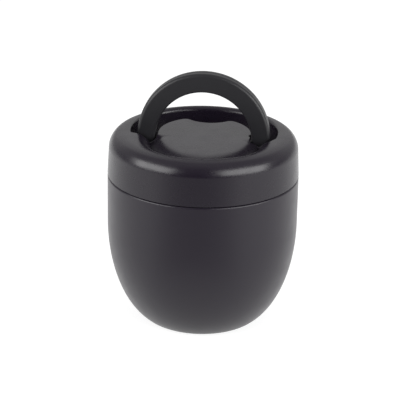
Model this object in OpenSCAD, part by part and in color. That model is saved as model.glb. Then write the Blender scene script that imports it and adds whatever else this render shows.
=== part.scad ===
// Insulated food jar: a vacuum-walled steel jar, a screw lid and a carrying
// handle that stands up for carrying and folds back into a recess of the lid.
// Millimetres. The origin is the middle of the foot, +Z is up, the handle
// turns about an axis along X and folds back towards +Y.

/* [Jar] */
// Diameter of the jar at the seam under the lid
jar_d = 110; // [106:1:118]
// How much the belly stands out beyond the seam, on the radius
belly_swell = 0.2; // [0:0.1:0.8]
// Height of the seam between jar and lid
seam_z = 87.5; // [84:0.5:100]
// Height at which the round lower body turns into the straight wall
belly_z = 58; // [52:1:64]
// Width of the round lower body, measured inwards from the belly
belly_curve_w = 32.3; // [29:0.1:34]
// Diameter of the flat foot
foot_d = 66; // [58:1:68]
// Width of the flat foot ring
foot_w = 3; // [2:0.25:5]
// Width of the bevel between the flat foot and the round lower body
foot_bevel_w = 2.5; // [1:0.1:5]
// Height at which that bevel meets the round lower body
foot_edge_h = 0.9; // [0.7:0.1:2]
// Thickness of the outer steel wall
shell_wall = 0.6; // [0.4:0.05:0.8]
// Thickness of the inner steel wall
liner_wall = 0.5; // [0.4:0.05:0.7]
// Height of the liner's underside above the foot
liner_floor_z = 7; // [6.8:0.1:10]
// Height of the neck above the seam
neck_h = 12; // [10:0.5:14]
// Small bevel on the jar's edge at the seam
seam_bevel = 0.4; // [0.2:0.1:0.8]

/* [Jar bottom] */
// Thickness of the welded bottom plate
plate_wall = 0.6; // [0.4:0.05:0.8]
// Height of the bottom plate's underside
plate_z = 2.6; // [2.2:0.1:3]
// Gap between the bottom plate's rim and the outer wall
plate_rim_gap = 0.6; // [0.4:0.1:1.2]
// Radius of the dimple round the vacuum port
port_dimple_r = 4; // [3:0.25:6]
// Depth of that dimple
port_dimple_h = 1; // [0.6:0.1:1.2]
// Radius of the vacuum port
port_r = 0.6; // [0.4:0.1:1]
// Gap between the port's seal and the dimple's wall
port_seal_gap = 0.4; // [0.2:0.1:0.8]
// How much the port's seal narrows downwards
port_seal_taper = 0.6; // [0.3:0.1:0.9]
// Thickness of the base cap
base_cap_t = 0.6; // [0.4:0.05:0.8]
// Gap between the base cap and the foot ring
base_cap_fit = 0.05; // [0.02:0.01:0.1]
// Height of the base cap above the table
base_cap_z = 0.3; // [0.2:0.05:0.5]
// Width of the base cap's flat rim
base_cap_rim = 4; // [2:0.5:8]
// Height by which the middle of the base cap is raised
base_cap_rise = 0.4; // [0.2:0.05:0.6]
// Distance of the getter from the jar's axis
getter_x = 14; // [10:0.5:16]
// Radius of the getter pellet
getter_r = 4.2; // [3:0.1:5]
// Height of the getter pellet
getter_h = 1.6; // [1:0.1:2]
// Gap round the getter in its cup
getter_fit = 0.1; // [0.05:0.05:0.2]
// Thickness of the getter's cup
getter_cup_wall = 0.4; // [0.3:0.05:0.5]

/* [Lid] */
// Gap at the seam between jar and lid
seam_gap = 0.4; // [0.2:0.1:0.8]
// Height of the lid, from its lower edge to its crest
lid_h = 24.3; // [23:0.1:27]
// Height of the lid's straight side
lid_side_h = 15.7; // [14:0.1:16.5]
// How much the straight side leans in on its way up
side_draft = 0.9; // [0.5:0.1:1.2]
// Width of the rounded shoulder
shoulder_w = 5.6; // [4.5:0.1:7]
// Fall of the ring top from its crest to the shoulder
crown_drop = 0.7; // [0.3:0.05:1]
// Roundness of the shoulder, 2 being a true ellipse
shoulder_power = 1.65; // [1.4:0.05:2.2]
// Thickness of the cover at the top of its side
cover_wall = 1.7; // [1.5:0.1:2]
// Thickness of the cover's top
cover_top_wall = 2; // [1.5:0.1:2.4]
// Depth of the lid's middle field below the crest
field_drop = 2.2; // [1.7:0.1:2.9]

/* [Handle recess] */
// Offset of the recess's outer wall towards the back
groove_y = 2.4; // [1.5:0.1:3]
// Thickness of the recess's walls
groove_wall = 1.4; // [1.2:0.1:1.6]
// Gap between the recess tub and the inner cap
tub_gap = 0.3; // [0.2:0.05:0.5]
// How far the pockets reach in front of the handle's axis
pocket_front = 8.6; // [7.5:0.1:10]
// Corner radius of a pocket on its outer side
pocket_round = 6.8; // [5:0.1:7.4]
// Corner radius of a pocket on its inner side
pocket_inner_round = 2; // [1:0.1:3]
// Radius of the finger notch in the island
notch_r = 16; // [14:0.5:18]
// Depth of the finger notch, from the island's round back
notch_depth = 9.4; // [6:0.1:10]
// Radius that rounds the two corners beside the notch
notch_corner_r = 4; // [3:0.1:5]
// Offset of the valley's centre towards the front
valley_y = -7.5; // [-9:0.5:-6]
// Radius of the valley's middle line
valley_r = 31; // [30:0.5:32]
// Radius of the valley's cross-section
valley_tube = 6.2; // [5.4:0.1:6.8]
// Depth of the valley below the field, beside the pockets
valley_depth = 5; // [3:0.1:5.6]
// Slope that lifts the valley out of the lid towards the front
valley_tilt = 8; // [7:0.5:10]
// Radius of the relief in the island beside the right leg
relief_r = 2.2; // [1.5:0.1:2.4]
// How far the relief cuts into the island
relief_in = 1; // [0.5:0.1:1.1]
// Depth of the relief below the field
relief_h = 3; // [2:0.1:3.4]
// Offset of the relief behind the handle's axis
relief_y = 2.5; // [1:0.1:4]

/* [Inner cap and seal] */
// Gap between the inner cap and the cover
cap_fit = 0.1; // [0.05:0.05:0.3]
// Thickness of the threaded skirt
skirt_wall = 1.5; // [1.3:0.1:2]
// Height of the skirt's lower edge above the seam
skirt_lift = 0.9; // [0.6:0.1:1.5]
// Height of a thread, from root to crest
thread_depth = 1.2; // [0.9:0.1:1.4]
// Gap between a thread's crest and the other piece
thread_gap = 0.5; // [0.3:0.05:0.6]
// Gap between the plug and the jar's mouth
plug_gap = 0.4; // [0.3:0.05:0.6]
// Thickness of the plug's wall and floor
plug_wall = 1.5; // [1.2:0.1:2]
// Depth of the plug below the web
plug_depth = 10.9; // [8:0.1:12]
// Bevel round the plug's lower edge
plug_bevel = 1.5; // [0.8:0.1:2]
// Width of the rib under the cover that is welded to the inner cap
weld_rib_w = 1.4; // [1:0.1:2]
// Thickness of the web over the jar's lip
web_t = 1.6; // [1.2:0.1:2]
// Thickness of the seal
seal_t = 1.2; // [0.8:0.1:1.6]
// Gap round the seal
seal_gap = 0.1; // [0.05:0.05:0.2]
// Width of the seal
seal_w = 2.2; // [1.6:0.1:2.3]
// Height of the rib that keeps the seal in place
seal_rib_h = 0.7; // [0.4:0.1:0.8]
// Gap between the foam and the pieces above and around it
foam_gap = 0.3; // [0.2:0.1:0.6]
// Gap between the foam's raised middle and the heads of the handle's pins
foam_middle_gap = 4.6; // [4:0.1:8]
// Height of the foam's raised middle above its rim
foam_middle_h = 6; // [2:0.5:8]

/* [Handle] */
// Gap between the folded handle and the recess's outer wall, at the sides
handle_gap = 4.2; // [4:0.1:5.5]
// Gap between the handle and the island, and room for a washer
island_gap = 1; // [0.8:0.1:1.4]
// Width of the handle's band
handle_w = 10.2; // [9:0.1:11]
// Thickness of the handle, both halves together
handle_t = 8.6; // [7.6:0.1:9]
// Height from the handle's axis to the centre of its arch
leg_h = 4.9; // [4:0.1:6]
// Depth of the handle's axis below the lid's crest
axis_drop = 7.8; // [7.5:0.1:8.1]
// Gap under the folded handle
fold_gap = 0.4; // [0.3:0.05:0.6]
// Radius on the handle's edges
handle_round = 1.5; // [0.8:0.1:2]
// Bevel that makes the parting line on the handle's outer edge
parting_bevel = 0.3; // [0.2:0.05:0.5]
// Bevel on the heel that stops the standing handle
heel_bevel = 0.6; // [0.3:0.1:1]
// Wall thickness of the hollow handle halves
handle_wall = 2; // [1.6:0.1:2.4]
// Angle over the legs at which the hollow starts
hollow_angle = 12; // [8:1:20]
// Radius of a locating peg
peg_r = 1; // [0.8:0.1:1.2]
// Length of a locating peg
peg_l = 1.6; // [1.2:0.1:2]
// Wall of the post round a peg's socket
post_wall = 1; // [0.8:0.1:1.4]
// Gap round a locating peg
peg_fit = 0.05; // [0.03:0.01:0.1]

/* [Pivot] */
// Radius of the handle's pins
pin_r = 1.75; // [1.5:0.05:2]
// Running gap between a pin and the handle
pin_fit = 0.05; // [0.03:0.01:0.1]
// Radius of a pin's head
pin_head_r = 3; // [2.6:0.1:3.2]
// Thickness of a pin's head
pin_head_t = 1.6; // [1:0.1:2]
// Radius of the round bosses that carry the pins' outer ends
boss_r = 3.6; // [3.2:0.1:4]
// Gap between a boss and the inner cap
boss_gap = 0.8; // [0.6:0.1:1.4]
// Depth of material behind a pin's end
boss_floor = 0.7; // [0.5:0.1:1]
// Radius of a friction washer
washer_r = 3.5; // [3:0.1:3.8]
// Gap on each side of a friction washer
washer_gap = 0.05; // [0.03:0.01:0.1]

/* [Hidden] */
$fn = 72;

curve_steps = 22;       // straight pieces in a quarter of a curved profile
arc_steps = 10;         // straight pieces in an arc of the island's outline
past = 1;               // how far a cutting solid runs past the face it opens

paint = [0.2, 0.19, 0.21];
steel = [0.76, 0.77, 0.78];
plastic = [0.22, 0.21, 0.23];
handle_black = [0.16, 0.16, 0.165];
silicone = [0.45, 0.46, 0.48];
foam_white = [0.93, 0.93, 0.9];

// Radii of the jar, from the outside inwards
jar_r = jar_d / 2;
belly_r = jar_r + belly_swell;
curve_r = belly_r - belly_curve_w;      // centre of the lower body's ellipse
foot_r = foot_d / 2;
belly_curve_h = (belly_z - foot_edge_h)
    / sqrt(1 - pow((foot_r + foot_bevel_w - curve_r) / belly_curve_w, 2));
side_top_r = jar_r - side_draft;        // lid's radius under its shoulder
cover_bore_r = side_top_r - cover_wall;
skirt_r = cover_bore_r - cap_fit;
skirt_bore_r = skirt_r - skirt_wall;
neck_r = skirt_bore_r - thread_gap - thread_depth;
liner_r = neck_r - shell_wall;
mouth_r = liner_r - liner_wall;
plug_r = mouth_r - plug_gap;
cup_r = plug_r - plug_wall;             // inside of the plug
groove_r = cup_r - tub_gap - groove_wall - groove_y;
handle_r = groove_r - handle_gap;
handle_in_r = handle_r - handle_w;
handle_mid_r = handle_r - handle_w / 2;
island_r = handle_in_r - island_gap;

// Heights
lip_z = seam_z + neck_h;
lip_t = liner_wall;                     // thickness of the liner's rolled lip
web_z = lip_z + seal_t + 2 * seal_gap;
web_top_z = web_z + web_t;
plug_z = web_z - plug_depth;
plug_floor_z = plug_z + plug_wall;
lid_z = seam_z + seam_gap;
lid_top_z = lid_z + lid_h;
side_top_z = lid_z + lid_side_h;
shoulder_top_z = lid_top_z - crown_drop;
shoulder_r = side_top_r - shoulder_w;   // where the shoulder meets the ring top
crest_r = shoulder_r - shoulder_w;
ceiling_z = shoulder_top_z - cover_top_wall;
field_z = lid_top_z - field_drop;
axis_z = lid_top_z - axis_drop;
half_t = handle_t / 2;
arch_z = axis_z + leg_h;
foot_bottom_z = axis_z - half_t;        // underside of the handle's feet
groove_z = foot_bottom_z - fold_gap;    // floor of the recess
tub_z = groove_z - groove_wall;
skirt_z = seam_z + skirt_lift;
weld_rib_r = cup_r + tub_gap;
cut_h = lid_h + past;                   // a cut that leaves through the lid's top

// Bottom of the jar
plate_top_z = plate_z + plate_wall;
plate_seat_w = foot_w - plate_rim_gap;  // the plate's rim on the foot ring
plate_slope = plate_z - shell_wall;     // its rim rises at 45 degrees
foot_bore_r = foot_r - foot_w;

// Pivot
boss_end_x = cup_r - boss_gap;
boss_face_x = handle_r + island_gap;
pin_end_x = boss_end_x - boss_floor;
pin_head_x = island_r - groove_wall;    // the head bears on the island's inside
washer_t = island_gap - 2 * washer_gap;
half_depth = half_t - handle_wall;      // depth of the hollow in one half
foam_middle_r = pin_head_x - pin_head_t - foam_middle_gap;
peg_angles = [30, 90, 150];

// ---------------------------------------------------------------- profiles

// Points of a quarter ellipse of the lower body, from height z0 up to the belly:
// radius = centre + a sin(t), height = belly - b cos(t).
function bowl(a, b, z0) =
    let (t0 = acos((belly_z - z0) / b))
    [for (i = [0:curve_steps])
        let (t = t0 + (90 - t0) * i / curve_steps)
        [curve_r + a * sin(t), belly_z - b * cos(t)]];

// Points of the lid's shoulder, a superellipse quarter of width a and height b,
// from the side at height z0 to the ring top.
function shoulder(a, b, z0) =
    [for (i = [0:curve_steps])
        let (t = 90 * i / curve_steps)
        [shoulder_r + a * pow(cos(t), 2 / shoulder_power),
         z0 + b * pow(sin(t), 2 / shoulder_power)]];

function reversed(points) = [for (i = [len(points) - 1:-1:0]) points[i]];

// A square whose sides are rounded into half circles at its two ends
module ring_section(r_in, r_out, z, t) {
    translate([r_in + t / 2, z]) square([r_out - r_in - t, t]);
    for (r = [r_in + t / 2, r_out - t / 2]) translate([r, z + t / 2]) circle(t / 2);
}

// ---------------------------------------------------------------- the jar

// Drawn and painted steel: foot ring, round lower body, shoulder under the lid
// and the neck that carries the screw thread.
module outer_shell() {
    color(paint) rotate_extrude() polygon(concat(
        [[foot_bore_r, 0], [foot_r, 0]],
        bowl(belly_curve_w, belly_curve_h, foot_edge_h),
        [[jar_r, seam_z - seam_bevel], [jar_r - seam_bevel, seam_z], [neck_r, seam_z],
         [neck_r, lip_z - lip_t], [liner_r, lip_z - lip_t],
         [liner_r, seam_z - shell_wall],
         [jar_r - shell_wall - seam_bevel, seam_z - shell_wall],
         [jar_r - shell_wall, seam_z - shell_wall - seam_bevel]],
        reversed(bowl(belly_curve_w - shell_wall, belly_curve_h - shell_wall,
            foot_edge_h + shell_wall)),
        [[foot_r, shell_wall], [foot_bore_r, shell_wall]]));
}

// Polished steel pot, welded to the neck under its rolled lip.
module inner_liner() {
    liner_a = liner_r - curve_r;
    liner_b = belly_z - liner_floor_z;
    inner_floor_z = liner_floor_z + liner_wall;
    color(steel) rotate_extrude() polygon(concat(
        [[0, liner_floor_z]],
        bowl(liner_a, liner_b, liner_floor_z),
        [[liner_r, lip_z - lip_t], [neck_r, lip_z - lip_t], [neck_r, lip_z], [mouth_r, lip_z]],
        reversed(bowl(liner_a - liner_wall, liner_b - liner_wall, inner_floor_z)),
        [[0, inner_floor_z]]));
}

// Steel plate that closes the vacuum space, welded on top of the foot ring.
module bottom_plate() {
    rim_r = foot_bore_r + plate_seat_w;
    dimple_z = plate_z + port_dimple_h;
    color(steel) rotate_extrude() polygon([
        [port_r, dimple_z], [port_dimple_r - port_dimple_h, dimple_z], [port_dimple_r, plate_z],
        [foot_bore_r - plate_slope + plate_wall, plate_z], [foot_bore_r + plate_wall, shell_wall],
        [rim_r, shell_wall], [rim_r, shell_wall + plate_wall],
        [foot_bore_r + 2 * plate_wall, shell_wall + plate_wall],
        [foot_bore_r - plate_slope + 2 * plate_wall, plate_top_z],
        [port_dimple_r + plate_wall, plate_top_z],
        [port_dimple_r - port_dimple_h + plate_wall, dimple_z + plate_wall],
        [port_r, dimple_z + plate_wall]]);
}

// Bead of solder that closed the port once the air was out.
module port_seal() {
    bead_r = port_dimple_r - port_dimple_h - port_seal_gap;
    color("silver") translate([0, 0, plate_z + port_dimple_h]) mirror([0, 0, 1])
        cylinder(r1 = bead_r, r2 = bead_r - port_seal_taper, h = port_dimple_h);
}

// Small steel cup, spot-welded inside the vacuum space, that holds the getter.
module getter_cup() {
    cup = getter_r + getter_fit;
    color(steel) translate([getter_x, 0, plate_top_z]) difference() {
        cylinder(r = cup + getter_cup_wall, h = getter_h + getter_cup_wall);
        translate([0, 0, getter_cup_wall]) cylinder(r = cup, h = getter_h + past);
    }
}

// Pellet that soaks up the last gas in the vacuum space.
module getter() {
    color("dimgray") translate([getter_x, 0, plate_top_z + getter_cup_wall])
        cylinder(r = getter_r, h = getter_h);
}

// Cosmetic cap, pressed into the foot ring over the sealed port.
module base_cap() {
    cap_r = foot_bore_r - base_cap_fit;
    middle_r = cap_r - base_cap_rim;
    top_z = base_cap_z + base_cap_t;
    color(paint) rotate_extrude() polygon([
        [0, base_cap_z + base_cap_rise], [middle_r - base_cap_rise, base_cap_z + base_cap_rise],
        [middle_r, base_cap_z], [cap_r, base_cap_z], [cap_r, top_z], [middle_r, top_z],
        [middle_r - base_cap_rise, top_z + base_cap_rise], [0, top_z + base_cap_rise]]);
}

// ---------------------------------------------------------------- the lid

// Corner circle beside the finger notch: it lies inside the island's circle and
// outside the notch's, so its centre is where two circles cross.
function notch_y() = leg_h + island_r + notch_r - notch_depth;
function corner_centre() =
    let (d = notch_y() - leg_h,
         p = island_r - notch_corner_r,
         q = notch_r + notch_corner_r,
         y = (d * d + p * p - q * q) / (2 * d))
    [sqrt(p * p - y * y), leg_h + y];

// Points of an arc, without the first one, where the piece before it ends
function arc(centre, r, from, to) =
    [for (i = [1:arc_steps])
        let (a = from + (to - from) * i / arc_steps)
        centre + r * [cos(a), sin(a)]];

// Right half of the island's outline, smaller by grow: straight beside the
// handle's axis, then round the back, round the corner and into the notch.
function island_side(grow) =
    let (c = corner_centre(),
         back_angle = atan2(c[1] - leg_h, c[0]),
         notch_angle = atan2(c[1] - notch_y(), c[0]))
    concat([[island_r - grow, -pocket_front - past], [island_r - grow, leg_h]],
        arc([0, leg_h], island_r - grow, 0, back_angle),
        arc(c, notch_corner_r - grow, back_angle, 180 + notch_angle),
        arc([0, notch_y()], notch_r + grow, notch_angle, -90));

module island(grow) {
    side = island_side(grow);
    polygon(concat(side, [for (p = reversed(side)) if (p[0] > 0) [-p[0], p[1]]]));
}

// Front end of the pocket for one leg, with a large outer and a small inner corner.
module pocket_end(grow) {
    x = sqrt(pow(groove_r, 2) - pow(groove_y + pocket_front - pocket_round, 2)) - pocket_round;
    inner = pocket_inner_round;
    y = -pocket_front;
    translate([x, y + pocket_round]) circle(pocket_round + grow);
    translate([island_r + inner, y + inner]) circle(inner + grow);
    translate([island_r + inner, y - grow])
        square([x - island_r - inner, pocket_front + grow]);
    translate([island_r - grow, y + inner])
        square([x - island_r + grow, pocket_front - inner]);
}

// Outline of the horseshoe recess that takes the folded handle.
module groove(grow) {
    difference() {
        union() {
            intersection() {
                translate([0, groove_y]) circle(groove_r + grow);
                translate([-jar_r, pocket_round - pocket_front]) square(2 * jar_r);
            }
            for (side = [0, 1]) mirror([side, 0]) pocket_end(grow);
        }
        island(grow);
    }
}

module groove_cut(grow) {
    translate([0, 0, groove_z - grow]) linear_extrude(cut_h) groove(grow);
}

// The field inside the ring lies a little lower than the crest.
module field_cut(grow) {
    translate([0, 0, field_z - grow]) linear_extrude(cut_h) {
        translate([0, valley_y]) circle(valley_r + grow);
        translate([0, leg_h]) circle(handle_mid_r + grow);
    }
}

// Rounded valley that runs from both pockets towards the front and fades out:
// a torus tipped forwards, of which only the front part cuts.
module valley_cut(grow) {
    start_y = pocket_inner_round - pocket_front + grow;
    intersection() {
        translate([0, valley_y, field_z - valley_depth + valley_tube])
            rotate([-valley_tilt, 0, 0])
            rotate_extrude() translate([valley_r, 0]) circle(valley_tube + grow);
        translate([-jar_r, start_y - jar_r, groove_z]) cube([2 * jar_r, jar_r, cut_h]);
    }
}

module cover_form() {
    rotate_extrude() polygon(concat(
        [[0, lid_z], [jar_r - seam_bevel, lid_z], [jar_r, lid_z + seam_bevel]],
        shoulder(shoulder_w, shoulder_top_z - side_top_z, side_top_z),
        [[crest_r, lid_top_z], [0, lid_top_z]]));
}

module cover_hollow() {
    rotate_extrude() polygon(concat(
        [[0, lid_z - past], [cover_bore_r, lid_z - past]],
        shoulder(cover_bore_r - shoulder_r, ceiling_z - side_top_z, side_top_z),
        [[0, ceiling_z]]));
}

// Ring that is welded to the inner cap.
module weld_rib() {
    translate([0, 0, web_top_z]) difference() {
        cylinder(r = weld_rib_r + weld_rib_w, h = ceiling_z - web_top_z + cover_top_wall / 2);
        translate([0, 0, -past]) cylinder(r = weld_rib_r, h = lid_h);
    }
}

// Cylinder along X, round the handle's axis, from x0 to x1 on both sides.
module on_axis(r, x0, x1) {
    for (side = [0, 1]) mirror([side, 0, 0])
        translate([x0, 0, axis_z]) rotate([0, 90, 0]) cylinder(r = r, h = x1 - x0);
}

// Moulded cover with the ring, the field, the recess for the handle and the
// bosses for its pins. Walls follow each hollow at a constant thickness.
module lid_cover() {
    color(plastic) difference() {
        union() {
            difference() {
                cover_form();
                field_cut(0);
                groove_cut(0);
                valley_cut(0);
                difference() {
                    cover_hollow();
                    field_cut(cover_top_wall);
                    groove_cut(groove_wall);
                    valley_cut(cover_top_wall);
                    weld_rib();
                }
            }
            on_axis(boss_r, boss_face_x, boss_end_x);
        }
        on_axis(pin_r, pin_head_x - past, pin_end_x);
        translate([island_r - relief_in + relief_r, relief_y, field_z - relief_h])
            cylinder(r = relief_r, h = cut_h);
    }
}

// Inner cap: a plug for the mouth, a web over the lip and the threaded skirt.
module lid_inner_cap() {
    seal_rib_r = plug_r + seal_w + 2 * seal_gap;
    color(plastic) rotate_extrude() polygon([
        [0, plug_z], [plug_r - plug_bevel, plug_z], [plug_r, plug_z + plug_bevel],
        [plug_r, web_z], [seal_rib_r, web_z], [seal_rib_r, web_z - seal_rib_h],
        [skirt_bore_r, web_z - seal_rib_h], [skirt_bore_r, skirt_z], [skirt_r, skirt_z],
        [skirt_r, web_top_z], [cup_r, web_top_z], [cup_r, plug_floor_z], [0, plug_floor_z]]);
}

// Insulating foam in the lid, on the floor of the plug.
module lid_foam() {
    rim_z = tub_z - foam_gap;
    color(foam_white) rotate_extrude() polygon([
        [0, plug_floor_z], [cup_r - foam_gap, plug_floor_z], [cup_r - foam_gap, rim_z],
        [foam_middle_r, rim_z], [foam_middle_r, rim_z + foam_middle_h], [0, rim_z + foam_middle_h]]);
}

// Silicone ring between the web and the lip.
module lid_seal() {
    seal_in_r = plug_r + seal_gap;
    color(silicone) rotate_extrude()
        ring_section(seal_in_r, seal_in_r + seal_w, lip_z + seal_gap, seal_t);
}

// ---------------------------------------------------------------- the handle

// Cross-section of one half: x is the distance from the arch's centre, y the
// distance from the parting plane.
module half_section() {
    difference() {
        union() {
            translate([handle_in_r, 0]) square([handle_w, half_t - handle_round]);
            translate([handle_in_r + handle_round, 0])
                square([handle_w - 2 * handle_round, half_t]);
            for (x = [handle_in_r + handle_round, handle_r - handle_round])
                translate([x, half_t - handle_round]) circle(handle_round);
        }
        polygon([[handle_r - parting_bevel, -past], [handle_r + past, -past],
            [handle_r + past, parting_bevel + past], [handle_r - parting_bevel, 0]]);
    }
}

// Turns a shape drawn in the arch's plane so that it stands in front of the
// parting plane, with its centre at the arch's centre.
module stand() {
    translate([0, 0, arch_z]) rotate([90, 0, 0]) children();
}

module half_arch() {
    stand() rotate_extrude(angle = 180) half_section();
    for (side = [0, 1]) mirror([side, 0, 0]) translate([0, 0, axis_z])
        linear_extrude(leg_h) mirror([0, 1]) half_section();
}

// A leg's end below the axis, before it is shaped.
module foot_block() {
    for (side = [0, 1]) mirror([side, 0, 0]) translate([0, 0, foot_bottom_z])
        linear_extrude(half_t) mirror([0, 1]) half_section();
}

module half_hollow() {
    stand() rotate([0, 0, hollow_angle])
        rotate_extrude(angle = 180 - 2 * hollow_angle)
        translate([handle_in_r + handle_wall, -past])
        square([handle_w - 2 * handle_wall, half_depth + past]);
}

// Round posts or pegs at the locating points, from depth y0 to y1.
module at_pegs(r, y0, y1) {
    stand() for (a = peg_angles) rotate([0, 0, a])
        translate([handle_mid_r, 0, y0]) cylinder(r = r, h = y1 - y0);
}

// Front moulding, with square heels that stop the handle when it stands, and
// with the pegs.
module handle_front() {
    color(handle_black) difference() {
        union() {
            difference() {
                union() {
                    half_arch();
                    foot_block();
                }
                half_hollow();
                translate([0, -half_t, foot_bottom_z]) rotate([45, 0, 0])
                    cube([2 * jar_r, heel_bevel * sqrt(2), heel_bevel * sqrt(2)], center = true);
            }
            at_pegs(peg_r + post_wall, 0, half_depth + handle_wall / 2);
            at_pegs(peg_r, -peg_l, half_depth);
        }
        on_axis(pin_r + pin_fit, 0, jar_r);
    }
}

// Back moulding, with round heels so that the handle can fold back, and with
// the sockets.
module handle_back() {
    color(handle_black) mirror([0, 1, 0]) difference() {
        union() {
            difference() {
                half_arch();
                half_hollow();
            }
            intersection() {
                foot_block();
                on_axis(half_t, 0, jar_r);
            }
            at_pegs(peg_r + post_wall, 0, half_depth + handle_wall / 2);
        }
        at_pegs(peg_r + peg_fit, -past, peg_l + peg_fit);
        on_axis(pin_r + pin_fit, 0, jar_r);
    }
}

// Two headed steel pins, pushed outwards from the hollow island.
module handle_pins() {
    color(steel) {
        on_axis(pin_r, pin_head_x, pin_end_x);
        on_axis(pin_head_r, pin_head_x - pin_head_t, pin_head_x);
    }
}

// Washers on both sides of each leg, whose friction holds the handle where it is put.
module friction_washers() {
    color("whitesmoke") for (x = [island_r, handle_r]) difference() {
        on_axis(washer_r, x + washer_gap, x + washer_gap + washer_t);
        on_axis(pin_r + pin_fit, x - past, x + island_gap + past);
    }
}

outer_shell();
inner_liner();
bottom_plate();
port_seal();
getter_cup();
getter();
base_cap();
lid_cover();
lid_inner_cap();
lid_foam();
lid_seal();
handle_front();
handle_back();
handle_pins();
friction_washers();
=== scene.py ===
# %% [markdown]
# # An insulated food jar
#
# The jar is a round vacuum-walled steel pot with a full-width screw lid and an
# arched carrying handle that folds back into a recess in the lid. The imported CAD
# model is the frame: it fixes every size, and each piece made here sits where its
# solid sits. Sizes are written in millimetres, as on a drawing, and become metres
# only when a mesh is made. The origin is the middle of the foot, Z is up and the
# handle's axis lies along X.

import bmesh
import bpy
import numpy as np
from mathutils import Matrix, Quaternion, Vector


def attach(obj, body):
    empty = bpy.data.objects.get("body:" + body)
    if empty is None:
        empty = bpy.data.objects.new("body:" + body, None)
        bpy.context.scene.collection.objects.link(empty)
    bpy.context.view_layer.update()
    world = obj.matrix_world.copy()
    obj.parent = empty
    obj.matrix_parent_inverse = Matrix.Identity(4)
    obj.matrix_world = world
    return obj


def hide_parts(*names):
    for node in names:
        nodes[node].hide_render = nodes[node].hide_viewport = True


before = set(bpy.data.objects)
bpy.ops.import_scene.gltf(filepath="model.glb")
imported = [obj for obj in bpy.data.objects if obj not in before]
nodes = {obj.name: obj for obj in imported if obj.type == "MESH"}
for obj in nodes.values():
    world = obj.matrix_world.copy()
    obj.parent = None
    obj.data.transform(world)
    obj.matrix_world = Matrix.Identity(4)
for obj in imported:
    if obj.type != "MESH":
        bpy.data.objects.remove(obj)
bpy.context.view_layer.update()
MM = 0.001

# %% [markdown]
# ## From points to pieces
#
# Every piece is a surface that numpy works out as a grid of points, row by row, and
# a grid becomes quads between neighbours. The same shapes could be pulled out of
# primitives by hand, but a formula puts each point exactly where the drawing has it.

# %% Quads between the points
def quads(rows, columns, closed):
    """Each point joins its right and upper neighbours; a closed grid wraps round."""
    row, column = np.mgrid[: rows - 1, : columns if closed else columns - 1]
    here = row * columns + column
    beside = row * columns + (column + 1) % columns
    return np.stack([here, beside, beside + columns, here + columns], -1).reshape(-1, 4)


print("a grid of 3 by 4 points that wraps round has", len(quads(3, 4, True)), "quads")

# %% [markdown]
# A real piece has an inside and an outside, so its mesh has to be closed. Here it is
# one or more grids welded along the edges they share. Welding first and turning the
# faces outwards second is the safe order, because a pole or a seam that is still open
# can turn half of a shell inside out. Every piece also rides on a body of the frame,
# which carries it when a joint moves, and names the CAD solids that it stands for.

# %% Welding a piece
WELD, SLIVER = 0.003, 0.0005        # points this close are welded, edges this short dissolved
finishes = {}           # the material of each slot, filled in before the first piece


def add_object(name, data):
    """Puts a mesh, a lamp or a camera into the scene as an object."""
    thing = bpy.data.objects.new(name, data)
    bpy.context.scene.collection.objects.link(thing)
    return thing


def add_piece(name, sheets, body, slot, stands_for=(), crease=38):
    """Welds (grid of points in mm, wraps round) sheets into one closed piece that rides on body."""
    points = np.concatenate([grid.reshape(-1, 3) for grid, _ in sheets])
    starts = np.cumsum([0] + [grid.shape[0] * grid.shape[1] for grid, _ in sheets])
    faces = np.concatenate([quads(*grid.shape[:2], closed) + start
                            for (grid, closed), start in zip(sheets, starts)])
    mesh = bpy.data.meshes.new(name)
    mesh.from_pydata(points * MM, [], faces.tolist())
    shape = bmesh.new()
    shape.from_mesh(mesh)
    bmesh.ops.remove_doubles(shape, verts=shape.verts, dist=WELD * MM)
    bmesh.ops.dissolve_degenerate(shape, edges=shape.edges, dist=SLIVER * MM)
    bmesh.ops.recalc_face_normals(shape, faces=shape.faces)
    gaps = sum(not edge.is_manifold for edge in shape.edges)
    volume = shape.calc_volume(signed=True) / MM ** 3
    shape.to_mesh(mesh)
    shape.free()
    mesh.shade_smooth()
    mesh.set_sharp_from_angle(angle=np.radians(crease))
    mesh.materials.append(finishes[slot])
    piece = add_object(name, mesh)
    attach(piece, body)
    if stands_for:
        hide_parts(*stands_for)
    print(f"{name}: {len(mesh.polygons)} faces, {volume / 1000:.2f} cm3, open edges: {gaps}")
    return piece


print("points closer than", WELD, "mm are welded")

# %% [markdown]
# ## Turned and drawn profiles
#
# The jar, its liner and most of the lid are round, as drawing and spinning a steel
# sheet makes them. Each of those pieces is a closed profile of (radius, height)
# corners carried round the axis. Real edges are never sharp, so every corner names
# the radius of its fillet. A Bevel modifier would round them all alike, while a
# drawing gives each edge its own radius. Two guard points just outside each fillet
# keep the flat faces beside it flat in the shading.

# %% Profiles with fillets
GUARD = 0.08            # distance of a guard point from the end of its fillet


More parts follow.
